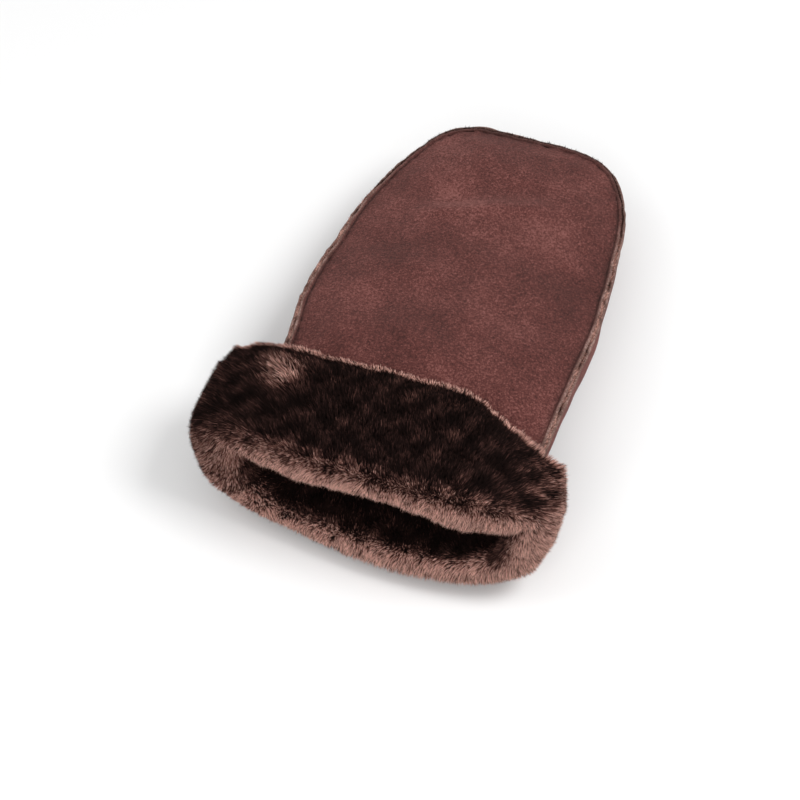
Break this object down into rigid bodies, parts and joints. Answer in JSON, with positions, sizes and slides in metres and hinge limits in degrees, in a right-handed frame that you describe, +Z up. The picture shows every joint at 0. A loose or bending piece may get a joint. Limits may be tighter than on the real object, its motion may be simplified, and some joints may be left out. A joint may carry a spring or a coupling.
{
  "type": "shearling mitten",
  "caption": "Boxed suede shearling mitten for the left hand with raised seams and a turned-back pile cuff, lying back up",
  "frame": {"origin": "centre of the bounding box in X and Y, at Z = 0 on the surface that the mitten lies on", "axes": "+X to the thumb's side, +Y to the finger tips, +Z up out of the back of the hand"},
  "size_m": [0.1592, 0.2432, 0.0527],
  "materials": {
    "suede": "matt dark reddish brown suede with a soft uneven nap",
    "pile": "dense sheep's wool pile, near black-brown at the roots and pale pinkish brown where it lies over"
  },
  "bodies": {
    "root": {"back_panel": "suede", "palm_panel": "suede", "side_gusset": "suede", "thumb_outer": "suede", "thumb_inner": "suede", "cuff_hide": "suede", "cuff_pile": "pile", "lining_pile": "pile"}
  },
  "joints": []
}
